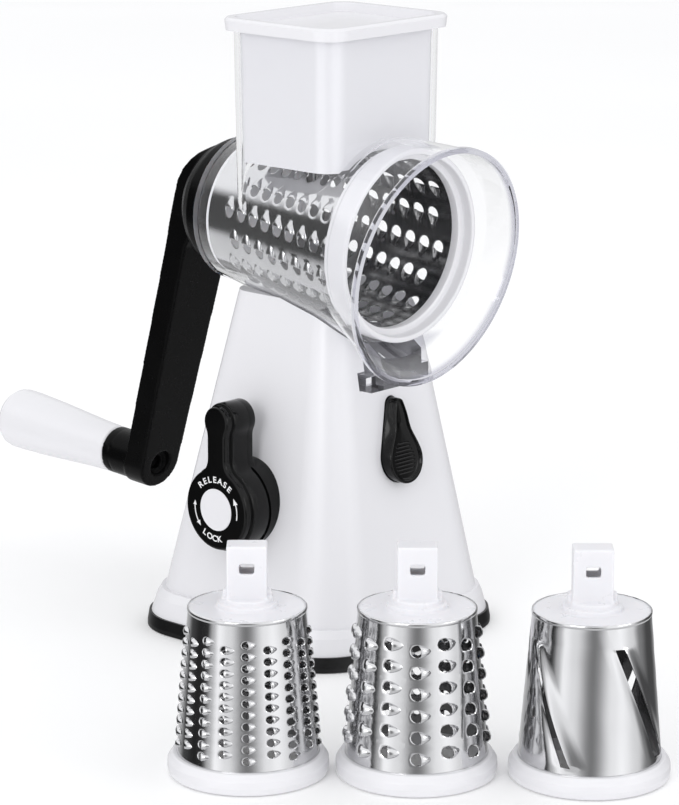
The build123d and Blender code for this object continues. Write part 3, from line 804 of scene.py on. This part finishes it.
def arc_arrow(radius, a0, a1, width, head_w, head_l):
    """Arrow along an arc, head at a1. Degrees clockwise from the top."""
    out = []
    head = math.degrees(head_l / radius) * (1 if a1 > a0 else -1)
    steps = 14
    stop = a1 - head
    inner, outer = [], []
    for i in range(steps + 1):
        a = math.radians(a0 + (stop - a0) * i / steps)
        inner.append(((radius - width / 2) * math.sin(a), (radius - width / 2) * math.cos(a)))
        outer.append(((radius + width / 2) * math.sin(a), (radius + width / 2) * math.cos(a)))
    for i in range(steps):
        q = [inner[i], outer[i], outer[i + 1], inner[i + 1]]
        out.append(q if a1 < a0 else q[::-1])
    s, t = math.radians(stop), math.radians(a1)
    q = [((radius - head_w / 2) * math.sin(s), (radius - head_w / 2) * math.cos(s)),
         ((radius + head_w / 2) * math.sin(s), (radius + head_w / 2) * math.cos(s)),
         (radius * math.sin(t), radius * math.cos(t))]
    out.append(q if a1 < a0 else q[::-1])
    return out


print_piece("print_arrow_up", arc_arrow(13.9, 101.0, 57.0, 0.6, 2.9, 3.2))
print_piece("print_arrow_down", arc_arrow(13.9, -104.0, -133.0, 0.6, 2.5, 2.6))
print_piece("print_arrow_back", arc_arrow(13.9, -104.0, -80.0, 0.6, 2.2, 2.2))

# ------------------------------------------------------------------ release button
BZ, BR, TZ, TR = 92.0, 11.5, 117.0, 4.0


def drop_outline(tip_r, waist):
    """Closed outline in (x, z), bulb below and tip above, always the same number of points."""
    a = math.asin((BR - tip_r) / (TZ + TR - tip_r - BZ))
    top = TZ + TR - tip_r
    pts = []
    for i in range(49):
        t = -a + (math.pi + 2 * a) * i / 48.0
        pts.append((-BR * math.cos(t), BZ - BR * math.sin(t)))
    t = math.pi + a
    p, q = pts[48], (-tip_r * math.cos(t), top - tip_r * math.sin(t))
    for i in range(1, 24):
        pts.append((p[0] + (q[0] - p[0]) * i / 24.0, p[1] + (q[1] - p[1]) * i / 24.0))
    for i in range(25):
        t = math.pi + a + (math.pi - 2 * a) * i / 24.0
        pts.append((-tip_r * math.cos(t), top - tip_r * math.sin(t)))
    q, p = pts[-1], pts[0]
    for i in range(1, 24):
        pts.append((q[0] + (p[0] - q[0]) * i / 24.0, q[1] + (p[1] - q[1]) * i / 24.0))
    pts = [(x * (1 - waist * math.exp(-((z - 107.0) / 6.0) ** 2)), z) for x, z in pts]
    area = sum(pts[k - 1][0] * pts[k][1] - pts[k][0] * pts[k - 1][1] for k in range(len(pts)))
    return pts if area > 0 else pts[::-1]


def wall_y(z):
    return -(67.4 - 0.174 * z)


def inset(pts, d):
    """Towards the spine, less where the shape is narrow."""
    out = []
    for x, z in pts:
        c = min(max(z, BZ), TZ)
        r = max(1e-6, math.hypot(x, z - c))
        e = min(d * (r / BR) ** 0.6, r * 0.82)
        out.append((x * (1 - e / r), c + (z - c) * (1 - e / r)))
    return out


base_line, front_line = drop_outline(TR, 0.0), drop_outline(2.5, 0.20)
n = len(base_line)
verts, faces = [], []
layers = [(0.5, 0.0, 0.0), (-0.9, 0.0, 0.0), (-1.5, 0.0, 0.25), (-3.4, 0.0, 0.7), (-5.3, 0.0, 1.0), (-5.8, 0.12, 1.0), (-6.08, 0.35, 1.0), (-6.2, 0.75, 1.0),
          (-6.2, 1.15, 1.0), (-6.05, 1.5, 1.0), (-5.6, 1.75, 1.0), (-5.1, 2.0, 1.0), (-4.85, 2.4, 1.0), (-4.75, 3.0, 1.0), (-4.5, 4.6, 1.0), (-4.3, 6.6, 1.0), (-4.2, 8.8, 1.0)]
for y, d, mixed in layers:
    line = [(a[0] + (b[0] - a[0]) * mixed, a[1] + (b[1] - a[1]) * mixed) for a, b in zip(base_line, front_line)]
    for x, z in (inset(line, d) if d else line):
        verts.append((x, wall_y(z) + y, z))
for k in range(len(layers) - 1):
    for i in range(n):
        j = (i + 1) % n
        faces.append((k * n + i, k * n + j, (k + 1) * n + j, (k + 1) * n + i))
faces.append(tuple(range((len(layers) - 1) * n, len(layers) * n)))
# ridges of the thumb pad
for i in range(9):
    z = 85.4 + 1.75 * i
    reach = (BR - 3.4) * math.sqrt(max(0.25, 1 - ((z - 92.0) / 10.5) ** 2)) if z < 93 else (BR - 3.4) * (1 - (z - 93) / 15.0)
    b = len(verts)
    seg, arc = 14, 6
    for k in range(seg + 1):
        x = -reach + 2 * reach * k / seg
        e = max(0.0, 1 - abs(x / reach) ** 5) ** 0.5
        for q in range(arc + 1):
            w = math.pi * q / arc
            zz = z + 0.5 * e * math.cos(w)
            verts.append((x, wall_y(zz) - 4.25 - 0.75 * e * math.sin(w), zz))
    for k in range(seg):
        for q in range(arc):
            c = b + k * (arc + 1) + q
            faces.append((c, c + 1, c + arc + 2, c + arc + 1))
make("release_button_moulded", verts, faces, M_GLOSS, "button", ["release_button"], None, 35)

# ------------------------------------------------------------------ floor and light
bm = bmesh.new()
size, cells = 9.0, 24
grid = [[bm.verts.new((-size + 2 * size * i / cells, -size + 2 * size * j / cells, -0.0004)) for j in range(cells + 1)] for i in range(cells + 1)]
for i in range(cells):
    for j in range(cells):
        bm.faces.new((grid[i][j], grid[i + 1][j], grid[i + 1][j + 1], grid[i][j + 1]))
me = bpy.data.meshes.new("floor")
bm.to_mesh(me)
bm.free()
floor = bpy.data.objects.new("floor", me)
SCENE.collection.objects.link(floor)
m, nt, p, _ = material("floor_paper")
v = coords(nt)
nt.links.new(two_tone(nt, noise(nt, v, 3.0, 2.0), (0.93, 0.93, 0.932), (0.945, 0.945, 0.947)), p.inputs["Base Color"])
p.inputs["Emission Color"].default_value = (1, 1, 1, 1)
p.inputs["Emission Strength"].default_value = 0.07
nt.links.new(spread(nt, noise(nt, v, 20.0, 3.0), 0.75, 0.9), p.inputs["Roughness"])
p.inputs["Specular IOR Level"].default_value = 0.1
me.materials.append(m)
floor.visible_glossy = False
# the same paper under each loose drum, so that no light comes up inside it
for kind, (x, y) in LOOSE.items():
    n = 64
    ring = [(34.0 * math.cos(2 * math.pi * i / n), 34.0 * math.sin(2 * math.pi * i / n), -0.2) for i in range(n)]
    pm = bpy.data.meshes.new("paper_" + kind)
    pm.from_pydata([((x + a) * MM, (y + b) * MM, c * MM) for a, b, c in ring], [], [tuple(range(n))])
    pm.materials.append(m)
    po = bpy.data.objects.new("paper_" + kind, pm)
    SCENE.collection.objects.link(po)


def lamp(name, loc, target, size_x, size_y, power, glossy=False):
    d = bpy.data.lights.new(name, "AREA")
    d.shape = "RECTANGLE"
    d.size, d.size_y = size_x, size_y
    d.energy = power
    o = bpy.data.objects.new(name, d)
    SCENE.collection.objects.link(o)
    o.location = loc
    o.rotation_mode = "QUATERNION"
    o.rotation_quaternion = (Vector(target) - Vector(loc)).to_track_quat("-Z", "Y")
    o.visible_glossy = glossy
    o.visible_camera = False
    o.visible_transmission = False
    return o


lamp("key", (-2.1, -0.6, 0.9), (0, 0, 0.12), 0.9, 0.8, 9.0, True)
lamp("fill", (0.5, -2.2, 0.9), (0, 0, 0.12), 0.9, 0.8, 4.6, True)
lamp("top", (0.1, 0.2, 2.6), (0, 0, 0.1), 2.2, 2.2, 3.0)

world = bpy.data.worlds.new("studio")
SCENE.world = world
world.use_nodes = True
nt = world.node_tree
nt.nodes.clear()
out = nt.nodes.new("ShaderNodeOutputWorld")
tc = nt.nodes.new("ShaderNodeTexCoord")
sep = nt.nodes.new("ShaderNodeSeparateXYZ")
nt.links.new(tc.outputs["Generated"], sep.inputs[0])


def math_node(op, a, b=None, c=None):
    n = nt.nodes.new("ShaderNodeMath")
    n.operation = op
    for i, x in enumerate((a, b, c)):
        if x is None:
            continue
        if isinstance(x, (int, float)):
            n.inputs[i].default_value = x
        else:
            nt.links.new(x, n.inputs[i])
    return n.outputs[0]


def step_up(x, a, b):
    n = nt.nodes.new("ShaderNodeMapRange")
    n.interpolation_type = "SMOOTHSTEP"
    nt.links.new(x, n.inputs["Value"])
    n.inputs["From Min"].default_value = a
    n.inputs["From Max"].default_value = b
    return n.outputs["Result"]


azi = math_node("MULTIPLY", math_node("ARCTAN2", sep.outputs["Y"], sep.outputs["X"]), 180 / math.pi)
azi = math_node("MODULO", math_node("ADD", azi, 720.0), 360.0)
ele = math_node("MULTIPLY", math_node("ARCSINE", sep.outputs["Z"]), 180 / math.pi)


def band(x, a0, a1, b0, b1):
    return math_node("MULTIPLY", step_up(x, a0, a1), math_node("SUBTRACT", 1.0, step_up(x, b0, b1)))


ramp = nt.nodes.new("ShaderNodeValToRGB")
nt.links.new(math_node("DIVIDE", azi, 360.0), ramp.inputs["Fac"])
ramp.color_ramp.interpolation = "EASE"
stops = [(0, 0.16), (25, 0.42), (48, 0.62), (78, 0.48), (100, 0.14), (126, 0.07), (143, 0.08), (158, 0.62), (170, 1.0), (190, 0.86), (222, 0.34),
         (256, 0.92), (272, 1.0), (300, 0.80), (322, 0.34), (345, 0.16)]
while len(ramp.color_ramp.elements) < len(stops):
    ramp.color_ramp.elements.new(0.5)
for e, (a, val) in zip(ramp.color_ramp.elements, stops):
    e.position = a / 360.0
for e, (a, val) in zip(ramp.color_ramp.elements, stops):
    e.color = (val, val, val, 1)
mid_zone = math_node("MULTIPLY", math_node("POWER", ramp.outputs["Color"], 1.5), 1.42)
sky = step_up(ele, 15, 27)
ground = math_node("SUBTRACT", 1.0, step_up(ele, -26, -17))
sky_level = math_node("MULTIPLY", sky, 1.25)
ground_level = math_node("MULTIPLY", ground, 0.80)
zone = math_node("MULTIPLY", mid_zone, math_node("SUBTRACT", 1.0, math_node("MAXIMUM", sky, ground)))
studio = math_node("ADD", math_node("ADD", zone, sky_level), ground_level)

bg_plain = nt.nodes.new("ShaderNodeBackground")
bg_plain.inputs["Color"].default_value = (0.985, 0.99, 1.0, 1)
bg_plain.inputs["Strength"].default_value = 0.95
bg_cam = nt.nodes.new("ShaderNodeBackground")
bg_cam.inputs["Color"].default_value = (1, 1, 1, 1)
bg_cam.inputs["Strength"].default_value = 1.0
bg_gloss = nt.nodes.new("ShaderNodeBackground")
bg_gloss.inputs["Color"].default_value = (0.985, 0.99, 1.0, 1)
nt.links.new(studio, bg_gloss.inputs["Strength"])
path = nt.nodes.new("ShaderNodeLightPath")
inside = math_node("MODULO", path.outputs["Transmission Depth"], 2.0)
mix1 = nt.nodes.new("ShaderNodeMixShader")
bounced = math_node("MAXIMUM", math_node("SUBTRACT", path.outputs["Is Glossy Ray"], path.outputs["Is Transmission Ray"]), 0.0)
nt.links.new(math_node("MULTIPLY", bounced, math_node("SUBTRACT", 1.0, inside)), mix1.inputs[0])
nt.links.new(bg_plain.outputs[0], mix1.inputs[1])
nt.links.new(bg_gloss.outputs[0], mix1.inputs[2])
mix2 = nt.nodes.new("ShaderNodeMixShader")
nt.links.new(path.outputs["Is Camera Ray"], mix2.inputs[0])
nt.links.new(mix1.outputs[0], mix2.inputs[1])
nt.links.new(bg_cam.outputs[0], mix2.inputs[2])
nt.links.new(mix2.outputs[0], out.inputs["Surface"])

SCENE.view_settings.view_transform = "Standard"
SCENE.view_settings.look = "None"
SCENE.view_settings.exposure = 0.0
SCENE.view_settings.gamma = 1.0
